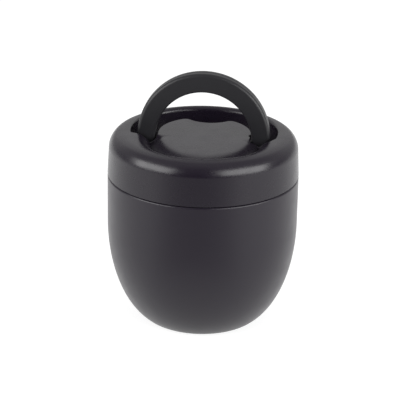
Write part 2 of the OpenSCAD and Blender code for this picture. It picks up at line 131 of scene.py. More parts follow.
def rounded(corners, step=11):
    """Replaces each (radius, height, fillet) corner by an arc in pieces of step degrees or less."""
    corners = [tuple(corner) + (0,) * (3 - len(corner)) for corner in corners]
    places = np.array([corner[:2] for corner in corners], float)
    path = []
    for i, (_, _, fillet) in enumerate(corners):
        here = places[i]
        if not fillet:
            path.append(here[None])
            continue
        back, on = places[i - 1] - here, places[(i + 1) % len(corners)] - here
        reach = np.linalg.norm(back), np.linalg.norm(on)
        back, on = back / reach[0], on / reach[1]
        half = np.arccos(np.clip(back @ on, -1, 1)) / 2
        touch = fillet / np.tan(half)
        centre = here + (back + on) / np.linalg.norm(back + on) * fillet / np.sin(half)
        first, last = here + back * touch - centre, here + on * touch - centre
        turn = np.pi - 2 * half
        steps = max(2, int(np.ceil(np.degrees(turn) / step)))
        t = np.linspace(0, 1, steps + 1)[:, None]
        arc = (np.sin((1 - t) * turn) * first + np.sin(t * turn) * last) / np.sin(turn)
        ends = [here + back * (touch + GUARD)] if reach[0] > touch + 2 * GUARD else []
        tail = [here + on * (touch + GUARD)] if reach[1] > touch + 2 * GUARD else []
        path.append(np.array([*ends, *(centre + arc), *tail]))
    return np.concatenate(path)


square = [(0, 0), (10, 0, 2), (10, 10), (0, 10)]
print("a fillet of 2 mm turns one corner of a square into", len(rounded(square)) - 3, "points")

# %% [markdown]
# Carrying a profile round an axis is what a lathe does to the real piece. Blender's
# Screw modifier could do it too, but then no other grid could be welded to the result
# before the faces are turned outwards.

# %% Turning a profile
def turned(profile, turns=160, close=True):
    """Carries a profile round Z: x = r cos a, y = r sin a, z = h."""
    profile = np.concatenate([profile, profile[:1]]) if close else np.asarray(profile)
    r, h = profile[:, :1], profile[:, 1:2]
    a = np.linspace(0, 2 * np.pi, turns, endpoint=False)
    return np.stack([r * np.cos(a), r * np.sin(a), h + 0 * a], -1), True


def turned_on_axis(profile, side, height, turns=64, close=True):
    """Carries a profile of (radius, x) round a line along X at the given height, on one side."""
    grid, closed = turned(profile, turns, close)
    return np.stack([side * grid[..., 2], grid[..., 0], height + grid[..., 1]], -1), closed


print("one profile point makes a ring of", turned([(10, 0)], close=False)[0].shape[1], "points")

# %% [markdown]
# ## Finishes
#
# No real surface is one even colour and gloss. Each finish here is a principled
# shader whose roughness varies a little and whose grain is a bump of a few
# thousandths of a millimetre. Painted images could do this as well, but patterns
# made by nodes have no seams. They read object coordinates, so that they stay put on
# a piece when it moves.

# %% Shader and pattern helpers
def new_finish(name, colour, roughness, metallic=0.0, ior=1.45):
    """Makes a material and returns it with its node tree and its shader."""
    material = bpy.data.materials.new(name)
    material.use_nodes = True
    tree = material.node_tree
    shader = tree.nodes["Principled BSDF"]
    for socket, value in (("Base Color", (*colour, 1)), ("Roughness", roughness),
                          ("Metallic", metallic), ("IOR", ior)):
        shader.inputs[socket].default_value = value
    return material, tree, shader


def split(tree, coordinates):
    """The x, y and z of the given texture coordinates."""
    node = tree.nodes.new("ShaderNodeSeparateXYZ")
    tree.links.new(tree.nodes.new("ShaderNodeTexCoord").outputs[coordinates], node.inputs[0])
    return node.outputs


def noise(tree, place, size, detail=2.0):
    """Noise whose features are about size millimetres wide."""
    node = tree.nodes.new("ShaderNodeTexNoise")
    node.inputs["Scale"].default_value = 1 / (size * MM)
    node.inputs["Detail"].default_value = detail
    tree.links.new(place, node.inputs["Vector"])
    return node.outputs["Fac"]


def spread(tree, value, low, high):
    """Maps a pattern, which stays mostly between 0.3 and 0.7, to the range low to high."""
    node = tree.nodes.new("ShaderNodeMapRange")
    tree.links.new(value, node.inputs["Value"])
    for socket, number in (("From Min", 0.3), ("From Max", 0.7), ("To Min", low), ("To Max", high)):
        node.inputs[socket].default_value = number
    return node.outputs["Result"]


def bump(tree, shader, value, depth):
    """Raises the surface by at most depth millimetres where the pattern is light."""
    node = tree.nodes.new("ShaderNodeBump")
    node.inputs["Distance"].default_value = depth * MM
    tree.links.new(value, node.inputs["Height"])
    tree.links.new(node.outputs["Normal"], shader.inputs["Normal"])


print("helpers: shader, places, noise, its range, grain")

# %% [markdown]
# The jar is powder coated, a dry paint that melts on the steel and leaves a faint
# grain. The lid is satin polypropylene from a lightly eroded mould, and the handle has
# a slightly duller grain. All of them are near black with a little violet in it. Such
# dark surfaces show their roughness more than their colour, so that is what drifts
# from place to place. A wide noise makes the drift and a fine one makes the grain.
# The seal's grey silicone and the washers' nylon are made the same way.

# %% Moulded and painted finishes
DRIFT = 0.03            # how far the roughness drifts to both sides
CLOUD = 9               # width of the drift's patches


def moulded(name, colour, roughness, grain, depth, ior=1.45):
    """Plastic or paint: fine grain, and a roughness that drifts over the surface."""
    material, tree, shader = new_finish(name, colour, roughness, ior=ior)
    place = tree.nodes.new("ShaderNodeTexCoord").outputs["Object"]
    cloud = noise(tree, place, CLOUD, 3)
    tree.links.new(spread(tree, cloud, roughness - DRIFT, roughness + DRIFT),
                   shader.inputs["Roughness"])
    bump(tree, shader, noise(tree, place, grain), depth)
    return material


finishes.update(
    body_paint=moulded("powder_coat", (0.0114, 0.008, 0.0152), 0.33, 0.9, 0.004),
    lid_plastic=moulded("satin_lid_plastic", (0.0103, 0.0073, 0.0136), 0.27, 0.6, 0.002),
    cap_plastic=moulded("smooth_cap_plastic", (0.011, 0.0105, 0.012), 0.36, 0.8, 0.002),
    handle_plastic=moulded("grained_handle_plastic", (0.0118, 0.0115, 0.0138), 0.42, 0.45, 0.006),
    silicone=moulded("silicone_rubber", (0.14, 0.145, 0.155), 0.5, 1.5, 0.004, ior=1.41),
    washer_plastic=moulded("black_nylon", (0.012, 0.012, 0.0125), 0.45, 0.5, 0.004, ior=1.53))
print("plastic, paint and rubber:", ", ".join(finishes))

# %% [markdown]
# The liner and the pins are steel that was brushed or turned, which leaves fine rings
# round the axis. An anisotropic shader alone would stretch the highlights but show no
# rings, so a noise is read along radius and height only: every point of a ring gets
# the same value.

# %% Brushed and turned steel
STREAK = 0.07           # how far the roughness of the rings goes to both sides


def brushed(name, colour, roughness, line, depth):
    """Steel brushed while it turned: fine rings that follow radius and height."""
    material, tree, shader = new_finish(name, colour, roughness, metallic=1.0)
    x, y, z = split(tree, "Object")
    flat = tree.nodes.new("ShaderNodeCombineXYZ")
    tree.links.new(x, flat.inputs["X"])
    tree.links.new(y, flat.inputs["Y"])
    radius = tree.nodes.new("ShaderNodeVectorMath")
    radius.operation = "LENGTH"
    tree.links.new(flat.outputs[0], radius.inputs[0])
    rings = tree.nodes.new("ShaderNodeCombineXYZ")
    tree.links.new(radius.outputs["Value"], rings.inputs["X"])
    tree.links.new(z, rings.inputs["Y"])
    lines = noise(tree, rings.outputs[0], line, 4)
    tree.links.new(spread(tree, lines, roughness - STREAK, roughness + STREAK),
                   shader.inputs["Roughness"])
    bump(tree, shader, lines, depth)
    return material


finishes.update(
    liner_steel=brushed("brushed_steel", (0.62, 0.61, 0.59), 0.26, 0.35, 0.003),
    pin_steel=brushed("turned_steel", (0.56, 0.56, 0.57), 0.24, 0.25, 0.002))
print(len(finishes), "finishes with the two of steel")

# %% [markdown]
# The four pieces that close the vacuum space and keep it good, and the foam in the
# lid, keep their CAD meshes, because nobody sees them in use and their shapes are
# plain. They still get finishes: brushed steel, dull solder, the dark sintered pellet
# of the getter and white foam. A Voronoi pattern is made of cells, so it suits the
# foam, and lumps of noise suit the cast and the pressed metal.

# %% Finishes of the hidden pieces
def lumpy(name, colour, roughness, metallic, size, detail, low, high):
    """Cast or pressed metal: the same lumps change its height and its roughness, low to high."""
    material, tree, shader = new_finish(name, colour, roughness, metallic)
    lumps = noise(tree, tree.nodes.new("ShaderNodeTexCoord").outputs["Object"], size, detail)
    tree.links.new(spread(tree, lumps, low, high), shader.inputs["Roughness"])
    bump(tree, shader, lumps, 0.05)
    return material


finishes.update(
    solder=lumpy("dull_solder", (0.55, 0.55, 0.56), 0.42, 1.0, 1.2, 3, 0.34, 0.5),
    getter_metal=lumpy("sintered_getter", (0.11, 0.11, 0.115), 0.7, 0.6, 0.25, 4, 0.6, 0.85))
finishes["foam"], tree, shader = new_finish("closed_cell_foam", (0.86, 0.86, 0.83), 0.85)
cells = tree.nodes.new("ShaderNodeTexVoronoi")
cells.inputs["Scale"].default_value = 1 / (1.6 * MM)
tree.links.new(tree.nodes.new("ShaderNodeTexCoord").outputs["Object"], cells.inputs["Vector"])
bump(tree, shader, cells.outputs["Distance"], 0.25)

KEPT = {"bottom_plate": "liner_steel", "port_seal": "solder", "getter_cup": "liner_steel",
        "getter": "getter_metal", "lid_foam": "foam"}
for name, slot in KEPT.items():
    nodes[name].data.materials.clear()
    nodes[name].data.materials.append(finishes[slot])
print("finishes on the kept CAD pieces:", ", ".join(KEPT))

# %% [markdown]
# ## The jar
#
# The outer wall is one drawn steel shell: a flat foot ring, a round lower body, a
# nearly straight side, a rolled shoulder under the lid and the neck. Its lower body
# is a quarter of an ellipse, which could also be a Bezier curve, but a formula keeps
# it exactly on the CAD model. The shell is modelled with its real 0.6 mm wall.

# %% Outer shell
SEAM = 87.5             # height of the seam under the lid
LIP = 99.5              # height of the jar's lip
BELLY = 58.0            # height at which the round body turns straight
CURVE_R = 22.9          # radius at which the body's ellipse has its centre


def bowl(a, b, start, steps=44):
    """Quarter ellipse from start up to the belly: r = centre + a sin t, z = belly - b cos t."""
    t = np.linspace(np.arccos((BELLY - start) / b), np.pi / 2, steps + 1)
    return np.stack([CURVE_R + a * np.sin(t), BELLY - b * np.cos(t)], -1)


def flowing(points):
    """Turns bare (radius, height) points into corners without a fillet."""
    return [(*point, 0) for point in points]


outer = [(30, 0, 0.25), (33, 0, 0.8), (35.5, 0.9, 2.2), *flowing(bowl(32.3, 62.01, 2.6)),
         (55.14, 68), (55.07, 78), (55.0, SEAM, 1.1), (49.1, SEAM, 0.35), (49.1, 99.0)]
inner = [(48.5, 99.0), (48.5, 86.9), (54.4, 86.9, 0.4), *flowing(bowl(31.7, 61.41, 3.0))[::-1],
         (35.0, 1.5, 1.6), (32.9, 0.6, 0.5), (30, 0.6, 0.25)]
shell_profile = rounded(outer + inner)
outer_shell = add_piece("outer_shell_drawn", [turned(shell_profile, 192)], "jar", "body_paint",
                        ["outer_shell"])

# %% [markdown]
# Paint stops at the shoulder: the neck with its thread stays bare steel, because the
# lid would scrape paint off. The neck could be an object of its own, but it is one
# sheet with the wall, so its faces get the steel finish as a second material.

# %% Bare neck
BARE_R = 50.2           # radius at which the paint stops
outer_shell.data.materials.append(finishes["liner_steel"])
centres = np.empty(len(outer_shell.data.polygons) * 3)
outer_shell.data.polygons.foreach_get("center", centres)
x, y, z = centres.reshape(-1, 3).T / MM
bare = (np.hypot(x, y) < BARE_R) & (z > SEAM - 0.7)
outer_shell.data.polygons.foreach_set("material_index", bare.astype(np.int32))
print("bare steel faces on the neck:", int(bare.sum()))

# %% [markdown]
# The liner is the pot that holds the food, drawn from thinner steel and welded to
# the neck under a rolled lip. It could be the outer wall moved inwards, but the two
# are separate sheets with a vacuum between them, so it repeats the bowl formula with
# its own half axes, which keeps the gap even.

# %% Inner liner
liner_profile = rounded(
    [(0, 7), *flowing(bowl(25.6, 51, 7)), (48.5, 99.0), (49.1, 99.0, 0.12), (49.1, LIP, 0.25),
     (48.0, LIP, 0.42), *flowing(bowl(25.1, 50.5, 7.5))[::-1], (0, 7.5)])
add_piece("inner_liner_drawn", [turned(liner_profile, 160, close=False)], "jar", "liner_steel",
          ["inner_liner"])

# %% [markdown]
# The thread on the neck has three starts, as on most wide lids: each ridge climbs
# 12 mm a turn, so that less than a turn opens the lid. A Screw modifier would end
# each ridge in a flat cut, so a low, round-topped section is carried along a helix by
# formula, and both its ends fade to a point, as rolled threads do. The lid's thread is
# the same shape turned inwards, half a pitch lower.

# %% Threads
LEAD = 12.0             # climb of the thread in one turn
STARTS = 3
SWEEP = 200.0           # degrees that one ridge covers
THREAD_Z = 90.4         # height at which the neck's ridges start
NECK_R, SKIRT_R = 49.1, 50.8        # radii that the two threads stand on
ROOT = 0.2              # how deep a ridge is sunk into its wall
UPPER = np.array([(-0.2, 1.05), (0, 1.0), (0.35, 0.88), (0.85, 0.66), (1.12, 0.48), (1.2, 0.3)])
RIDGE = np.concatenate([UPPER * (1, -1), UPPER[::-1]])      # (rise, distance from its middle)


def ridge(root, inwards, start_angle, start_height):
    """One ridge along a helix: the share k of its height and width fades to 0 at both ends."""
    t = np.linspace(0, 1, 121)[:, None]
    k = np.clip(np.minimum(t, 1 - t) * 9, 0, 1)
    k = np.sqrt(k * (2 - k))
    rise, width = RIDGE.T
    side = -1 if inwards else 1
    a = np.radians(start_angle + SWEEP * t)
    r = root + side * (-ROOT + (rise + ROOT) * k)
    z = start_height + LEAD * SWEEP / 360 * t + width * k
    grid = np.stack([r * np.cos(a), r * np.sin(a), z], -1)
    return np.concatenate([grid, grid[:, :1]], 1), False


starts = np.arange(STARTS) * 360 / STARTS
add_piece("neck_thread", [ridge(NECK_R, False, angle, THREAD_Z) for angle in starts],
          "jar", "liner_steel")
lower = THREAD_Z - LEAD / STARTS / 2
add_piece("lid_thread", [ridge(SKIRT_R, True, angle, lower) for angle in starts],
          "lid", "cap_plastic")

# %% [markdown]
# Underneath, a pressed cap hides the sealed vacuum port. Its middle is raised a
# little so that the jar stands on the foot ring alone. A flat disc would do from
# afar, but the step gives the cap the two soft rings that pressing leaves.

# %% Base cap
cap_profile = rounded([(0, 0.7), (25.55, 0.7, 0.5), (25.95, 0.3, 0.5), (29.95, 0.3, 0.2),
                       (29.95, 0.9, 0.1), (25.95, 0.9, 0.4), (25.55, 1.3, 0.4), (0, 1.3)])
add_piece("base_cap_pressed", [turned(cap_profile, 128, close=False)], "jar", "body_paint",
          ["base_cap"])

# %% [markdown]
# ## Inside the lid
#
# The inner cap is one moulding: a plug that reaches into the mouth, a web over the
# lip and the skirt that carries the thread. The silicone seal lies in the corner
# between plug and web. Cylinders joined by booleans would leave hard edges where the
# mould has round ones, so both are turned profiles again.

# %% Inner cap and seal
cap_profile = rounded(
    [(0, 90), (47.6, 90, 1.6), (47.6, 100.9, 0.15), (50.0, 100.9, 0.15), (50.0, 100.2, 0.2),
     (50.8, 100.2, 0.3), (50.8, 88.4, 0.35), (52.3, 88.4, 0.35), (52.3, 102.5, 0.5),
     (46.1, 102.5, 0.6), (46.1, 91.5, 1.2), (0, 91.5)])
add_piece("lid_inner_cap_moulded", [turned(cap_profile, 160, close=False)], "lid", "cap_plastic",
          ["lid_inner_cap"])
seal_profile = rounded([(47.7, 99.6, 0.59), (49.9, 99.6, 0.59), (49.9, 100.8, 0.59),
                        (47.7, 100.8, 0.59)], 15)
add_piece("lid_seal_ring", [turned(seal_profile, 160)], "seal", "silicone", ["lid_seal"])

# %% [markdown]
# ## The lid's cover
#
# The cover is the piece that people look at and hold: a broad ring with a round
# shoulder, a lower field inside it, the horseshoe recess that takes the folded
# handle, and a valley that runs out of both ends of the recess and fades towards the
# front. Subdivision would soften the recess's crisp edges and booleans leave ragged
# shading, so the mesh is laid out in spokes from the middle of the recess, which
# cross both its edges. First comes the recess's outline, drawn from arcs and lines
# that touch each other. One side is enough, because the other is its mirror image.

# %% Outline of the recess
ISLAND_R = 26.6         # radius of the island in the middle of the recess
HUB = np.array([0, 4.9])            # middle of the round recess, seen from above


def arc(centre, radius, start, end, side):
    """Points on an arc and the directions from them into the plastic: side = 1 is outwards."""
    steps = max(8, int(abs(end - start) * radius / 6))
    a = np.radians(np.linspace(start, end, steps))
    way = np.stack([np.cos(a), np.sin(a)], -1)
    return np.concatenate([np.array(centre) + radius * way, side * way], 1)


def straight(start, end, way, steps=60):
    """Points on a line, all with the same direction into the plastic."""
    t = np.linspace(0, 1, steps)[:, None]
    line = np.array(start) * (1 - t) + np.array(end) * t
    return np.concatenate([line, np.repeat([way], steps, 0)], 1)


outline = np.concatenate([
    arc((0, 38.1), 16, -90, -48.29, 1),             # finger notch in the island
    arc((13.307, 23.167), 4, 131.71, 53.93, -1),    # rounded corner beside the notch
    arc(HUB, ISLAND_R, 53.93, 0, -1),               # round back of the island
    straight((ISLAND_R, 4.9), (ISLAND_R, -4.9), (-1, 0)),   # side of the island
    arc((28.6, -4.9), 2, 180, 270, 1),              # inner corner of the pocket
    straight((28.6, -6.9), (33.5, -6.9), (0, -1)),  # front of the pocket, close to the leg
    arc((33.5, -12.9), 6, 90, 74, -1),              # soft bend
    straight((35.154, -7.132), (37.85, -7.905), (-0.2756, -0.9613)),    # outer end of the front
    arc((38.58, -5.36), 2.65, 254, 348.63, 1),      # outer corner of the pocket
    arc((0, 2.4), 42, -11.37, 90, 1),               # outer wall
])
spoke = np.arctan2(outline[:, 1] - HUB[1], outline[:, 0])
turn_point = int(np.argmin(spoke))
print(f"the recess ends {np.degrees(-spoke[turn_point]):.1f} degrees in front of its middle")

# %% [markdown]
# Spokes at even angles would miss the tight corners of the pockets, where a mould has
# the smallest fillets. So each spoke steps on when the island's edge or the outer
# wall has moved or turned enough, which puts many spokes in the tight corners and few
# in the plain arcs.

# %% Spokes
BACK, FRONT = 156, 42   # spokes of one side across the recess and in front of it


def travel(curve, length, bend):
    """Distance along a curve plus its bend, each in steps of the given size."""
    step = np.hypot(*np.diff(curve[:, :2], axis=0).T) / length
    way = np.unwrap(np.arctan2(curve[:, 3], curve[:, 2]))
    return np.concatenate([[0], np.cumsum(step + np.abs(np.diff(way)) / np.radians(bend))])


def both_edges():
    """The island's edge and the outer wall, met by the same spokes from back to front."""
    island, wall = outline[: turn_point + 1], outline[turn_point:][::-1]
    angles = [-np.arctan2(edge[:, 1] - HUB[1], edge[:, 0]) for edge in (island, wall)]
    angles = [np.maximum.accumulate(angle + np.arange(len(angle)) * 1e-12) for angle in angles]
    grid = np.unique(np.concatenate(angles))
    total = sum(np.interp(grid, angle, travel(edge, *size)) for edge, angle, size in
                zip((island, wall), angles, ((0.95, 7), (1.3, 9))))
    at = np.interp(np.linspace(0, total[-1], BACK + 1), total, grid)
    return [np.stack([np.interp(at, angle, column) for column in edge.T], -1)
            for edge, angle in zip((island, wall), angles)]


island_edge, wall_edge = both_edges()
for edge in (island_edge, wall_edge):
    edge[:, 2:] /= np.linalg.norm(edge[:, 2:], axis=1, keepdims=True)
wall_edge[-1] = island_edge[-1]
print(len(island_edge), "spokes across each side of the recess")

# %% [markdown]
# One formula gives the height of the top. The ring falls gently from its crest to
# the shoulder. From the level field the surface domes down into the valley, whose
# middle line is a circle round its own centre, and from that line it climbs to the
# crest in a short, steep bank. The valley is deep at the recess and shallow in front.
# The two sides meet in a rounded corner, because a mould has no sharp one. Sculpting
# could make such a top too, but a formula keeps both skins of the cover parallel.

# %% Height of the top
VALLEY = np.array([1.5, -9.5])      # middle of the valley's curve, seen from above
GROOVE_R = 32.7         # middle line of the round part of the recess
CREST, CREST_R = 112.2, 44.2        # top of the ring and its radius
SHOULDER_TOP, SHOULDER_R = 111.44, 48.9
FIELD = 110.0
DOME_R = 21.5           # radius at which the field starts to fall towards the valley
VALLEY_R = 31.0         # radius of the valley's middle line
BANK_R = 37.2           # radius at which the bank has reached the ring
BANK_GROWS = 3.5        # how much further out it does so beside the recess
BANK_END = 45.3         # the bank ends at this radius from the lid's own middle at the latest
STEEP = 2.1             # how steeply the bank starts in front
AT_RECESS, IN_FRONT = 4.0, 0.9      # depth of the valley below the field
STARTS_Y, WIDENS_Y, OVER = -3, -13, 6      # where it starts and its bank grows, over 6 mm each
INNER_SLOPE = 0.3       # how steeply the bank goes on below the valley's middle line
CORNER = 0.7            # how widely the valley's two sides are blended


def ease(t):
    """Smooth step: 3 t^2 - 2 t^3, held at 0 and 1."""
    t = np.clip(t, 0, 1)
    return t * t * (3 - 2 * t)


def top_height(x, y):
    """The higher of dome and bank, blended by (a + b + sqrt((a - b)^2 + corner^2)) / 2.

    The dome is the field less depth ((rho - dome radius) / width)^2, where rho is the
    distance from the valley's middle. The bank climbs from the valley's middle line to
    the ring by the share s of its width that is behind the point: by s (2 - s) at the
    recess and by (steep - (steep - 1) s) s^2 in front.
    """
    r = np.hypot(x, y)
    fall = np.clip((r - CREST_R) / (SHOULDER_R - CREST_R), 0, None)
    ring = CREST - (CREST - SHOULDER_TOP) * fall ** 2
    rho = np.hypot(x - VALLEY[0], y - VALLEY[1])
    front = np.clip((VALLEY[1] - y) / np.maximum(rho, 1), 0, 1)
    depth = (AT_RECESS - (AT_RECESS - IN_FRONT) * front) * ease((STARTS_Y - y) / OVER)
    dome = FIELD - depth * (np.clip(rho - DOME_R, 0, None) / (VALLEY_R - DOME_R)) ** 2
    beyond = np.minimum(rho - VALLEY_R, np.hypot(x, y - HUB[1]) - GROOVE_R)
    bank_r = BANK_R + BANK_GROWS * ease((y - WIDENS_Y) / OVER)
    before = np.clip(np.minimum(BANK_END - r, bank_r - rho), 0, None)
    share = np.clip(beyond, 0, None) / (np.clip(beyond, 0, None) + before + 1e-9)
    rounded_rise = share * (2 - share)
    steep_rise = (STEEP - (STEEP - 1) * share) * share ** 2
    rise = rounded_rise + (steep_rise - rounded_rise) * front ** 2
    bank = FIELD - depth + (ring - FIELD + depth) * rise + np.clip(beyond, None, 0) * INNER_SLOPE
    return (dome + bank + np.hypot(dome - bank, CORNER)) / 2


samples = top_height(*np.array([[0, 0], [0, VALLEY[1] - VALLEY_R], [0, -CREST_R]]).T)
print("heights at the middle, in the valley and on the ring:", samples.round(2), "mm")

# %% [markdown]
# The real cover's top is one wall of plastic, seen from above and from inside. Its
# mesh is laid out in plan first and lifted to the height formula afterwards, because
# spokes and circles are easy to work out on flat paper. These helpers mirror a side,
# follow the spokes out to the shoulder and close the gap in front of the recess.

# %% Plan of the cover
def both_sides(half):
    """Adds the mirrored left side to a right half whose first and last spokes lie in the middle."""
    left = half[:, -2:0:-1] * np.array([-1] + [1] * (half.shape[-1] - 1))
    return np.concatenate([half, left], 1)


def on_shoulder(point):
    """Where the spoke through a point meets the shoulder's circle about the origin."""
    way = (point - HUB) / np.linalg.norm(point - HUB, axis=1, keepdims=True)
    b, c = way @ HUB, HUB @ HUB - SHOULDER_R ** 2
    return HUB + way * (-b + np.sqrt(b * b - c))[:, None]


def with_height(plan, drop):
    """Lifts points of the plan to the top's height, less drop."""
    return np.concatenate([plan, top_height(plan[..., 0], plan[..., 1])[..., None] - drop], -1)


def front_edge(start):
    """From the recess's end to the front, on a circle round a point of the middle plane."""
    middle = np.array([0, VALLEY[1]])
    radius = np.linalg.norm(start - middle)
    a = np.linspace(np.arctan2(*(start - middle)[::-1]), -np.pi / 2, FRONT + 1)[1:]
    return middle + radius * np.stack([np.cos(a), np.sin(a)], -1)


print("the front is closed by", FRONT, "spokes on each side")

# %% [markdown]
# A mould gives the recess steep walls with a fillet above and below. The upper edge
# of the outer wall is crisp beside the pockets and softer at the back, where the
# fingers go. On the right the island has a small round relief beside the leg. A Bevel
# modifier can't change its width along an edge like that, so the rows of the fillets
# are made by formula: out by 1 - sin and down by 1 - cos of an angle.

# %% Walls of the recess
RELIEF_R, RELIEF_Y, RELIEF_IN = 2.2, 2.5, 1.0   # radius, place and depth of the relief
RELIEF_FLOOR = 107.0


def wall_fillet(y):
    """Radius of the outer wall's upper edge: 0.6 beside the pockets, growing to 2.5 at the back."""
    return 0.6 + 1.9 * ease(y / 38)


def relief(y):
    """How far the relief cuts into the island: the part of a circle that reaches past its edge."""
    circle = np.sqrt(np.maximum(RELIEF_R ** 2 - (y - RELIEF_Y) ** 2, 0))
    return np.clip(circle - (RELIEF_R - RELIEF_IN), 0, None)


def wall_rows(edge, side, grow, drop, fillet, floor, floor_fillet, cut):
    """Rows down the right (side = 1) or left (-1) wall: upper fillet, wall and lower fillet.

    grow moves the wall into the plastic, drop lowers its top, and cut is the relief,
    which ends on its own floor.
    """
    a = np.radians(np.linspace(0, 90, 7))
    mirror = np.array([side, 1])
    place, way = edge[:, :2] * mirror, edge[:, 2:] * mirror
    top = top_height(*(place + (grow + fillet + cut)[:, None] * way).T) - drop
    rows = [(grow + fillet * (1 - np.sin(t)) + cut, top - fillet * (1 - np.cos(t))) for t in a]
    step = np.where(top - fillet > RELIEF_FLOOR + 0.3, RELIEF_FLOOR, (top - fillet + floor) / 2)
    rows += [(grow + cut, top - fillet - GUARD), (grow + cut, step), (grow + 0 * cut, step)]
    if floor_fillet:
        rows += [(grow + 0 * cut, 0 * top + floor + floor_fillet + GUARD)]
    rows += [(grow - floor_fillet * (1 - np.cos(t)),
              floor + floor_fillet * (1 - np.sin(t)) + 0 * top)
             for t in (a if floor_fillet else a[:1])]
    return np.stack([np.concatenate([place + np.reshape(out, (-1, 1)) * way, z[:, None]], 1)
                     for out, z in rows])


print(f"the relief cuts {relief(RELIEF_Y):.1f} mm into the island")

# %% [markdown]
# The cover has an outer and an inner skin. Solidify could make the inner one, but it
# would thicken the walls unevenly at the fillets. So one function makes both: the
# inner skin is the same layout with every wall moved by the wall's thickness. A skin
# runs from the hub to the island's edge, down the wall, over the recess's floor, up
# the outer wall and out to the shoulder.

# %% Skins of the cover
RECESS_FLOOR = 99.7
RECESS_WALL, TOP_WALL = 1.4, 2.0    # thickness of the recess's walls and of the top
RIB_R = 46.4            # inner radius of the rib that is welded to the inner cap
SPREAD_IN = 1 - (1 - np.linspace(0, 1, 25)) ** 2.2      # rows are closer near the edge
SPREAD_OUT = np.linspace(0, 1, 31) ** 1.3


def skin(grow, drop, fillets, floor, floor_fillet, with_relief, ends=None, every=1):
    """Island, recess and ring of one skin, and the outer ends of its spokes.

    The ends are found on the shoulder's circle unless they are given; every = 2 leaves
    out every second row of the island and the ring.
    """
    beside_leg = np.abs(island_edge[:, 0] - ISLAND_R) < 0.01
    right = relief(island_edge[:, 1]) * with_relief * beside_leg
    none = 0 * right
    inner_walls, outer_walls = [
        [wall_rows(edge, side, grow, drop, fillet, floor, floor_fillet, cut if side == 1 else none)
         for side in (1, -1)]
        for edge, fillet, cut in ((island_edge, fillets[0], right), (wall_edge, fillets[1], none))]
    t = np.linspace(0, 1, 7)[1:-1, None, None]
    mirror = np.array([-1, 1])
    strips = []
    for inner_wall, outer_wall in zip(inner_walls, outer_walls):
        bed = inner_wall[-1] * (1 - t) + outer_wall[-1] * t
        strips.append(np.concatenate([inner_wall, bed, outer_wall[::-1]]))
    recess = np.concatenate([strips[0][:, ::-1], strips[1][:, 1:]], 1)
    middle = front_edge(inner_walls[0][0, -1, :2])
    plan_in = [np.concatenate([inner_walls[0][0, :, :2], middle]),
               np.concatenate([inner_walls[1][0, :, :2], middle * mirror])]
    plan_out = np.concatenate([outer_walls[0][0, :, :2], middle])
    ends = on_shoulder(plan_out) if ends is None else ends
    rim = np.concatenate([plan_in[0], plan_in[1][-2:0:-1]])
    island = with_height(HUB + SPREAD_IN[::every, None, None] * (rim - HUB), drop)
    plan = plan_out + SPREAD_OUT[::every, None, None] * (ends - plan_out)
    ring = with_height(both_sides(plan), drop)
    ring[-1, :, 2] = SHOULDER_TOP - drop
    return [(island, True), (recess, False), (ring, True)], ends


flat = 0 * wall_edge[:, 1]
outer_skin, shoulder_ends = skin(0, 0, (flat + 0.6, wall_fillet(wall_edge[:, 1])),
                                 RECESS_FLOOR, 0.8, True)
inner_skin, _ = skin(RECESS_WALL, TOP_WALL, (flat + 0.3, flat + 0.3), RECESS_FLOOR - RECESS_WALL,
                     0, False, shoulder_ends / SHOULDER_R * RIB_R, every=2)
print("skins of", sum(grid[..., 0].size for grid, _ in outer_skin + inner_skin), "points")

# %% [markdown]
# From the shoulder downwards the cover is round, so the spokes' ends carry a turned
# profile: the shoulder is a quarter of a superellipse, fuller than a circle, the side
# leans in by a degree or two so that the piece leaves its mould, and the inside
# climbs back to the rib that is welded to the inner cap. An even ring of points would
# not meet the spokes, and the weld would leave gaps.

# %% Side of the cover
SIDE_TOP = 103.6        # height at which the side turns into the shoulder
ROUND_R = 48.5          # radius at which the shoulder's superellipse starts
POWER = 1.65            # roundness of the shoulder


def shoulder(width, top, start, steps=28):
    """Superellipse quarter from the ring down to the side: |r/w|^p + |z/h|^p = 1."""
    t = np.linspace(np.arccos((start / width) ** (POWER / 2)), 0, steps + 1)
    return np.stack([ROUND_R + width * np.cos(t) ** (2 / POWER),
                     SIDE_TOP + (top - SIDE_TOP) * np.sin(t) ** (2 / POWER)], -1)


outside = shoulder(5.6, 111.5, SHOULDER_R - ROUND_R)
inside = shoulder(3.9, 109.5, 0, 14)[::-1]
side_profile = rounded(
    [*flowing(outside), (54.4, 98.5), (54.7, 93.4), (55.0, 87.9, 0.25), (52.4, 87.9, 0.3),
     (52.4, 95.0), *flowing(inside), (47.8, 109.5), (47.8, 102.5, 0.2),
     (RIB_R, 102.5, 0.2), (RIB_R, SHOULDER_TOP - TOP_WALL)])
directions = both_sides(shoulder_ends[None] / SHOULDER_R)[0]
r, h = side_profile[:, :1, None], side_profile[:, 1:2, None]
side = np.concatenate([r * directions[None], h + 0 * directions[None, :, :1]], -1)
add_piece("lid_cover_moulded", [*outer_skin, (side, True), *inner_skin], "lid", "lid_plastic",
          ["lid_cover"], crease=50)

# %% [markdown]
# Two round bosses carry the outer ends of the handle's pins. They stand out of the
# recess's outer wall into the pockets, one on each side. They overlap the wall
# instead of being cut out of its mesh, because a mould leaves a plain corner there.

# %% Bosses
AXIS = 104.4            # height of the handle's axis
boss_profile = rounded([(0, 38.8), (3.6, 38.8, 0.4), (3.6, 45.3, 0.2), (0, 45.3)])
bosses = [turned_on_axis(boss_profile, side, AXIS, close=False) for side in (1, -1)]
add_piece("pin_bosses", bosses, "lid", "lid_plastic")

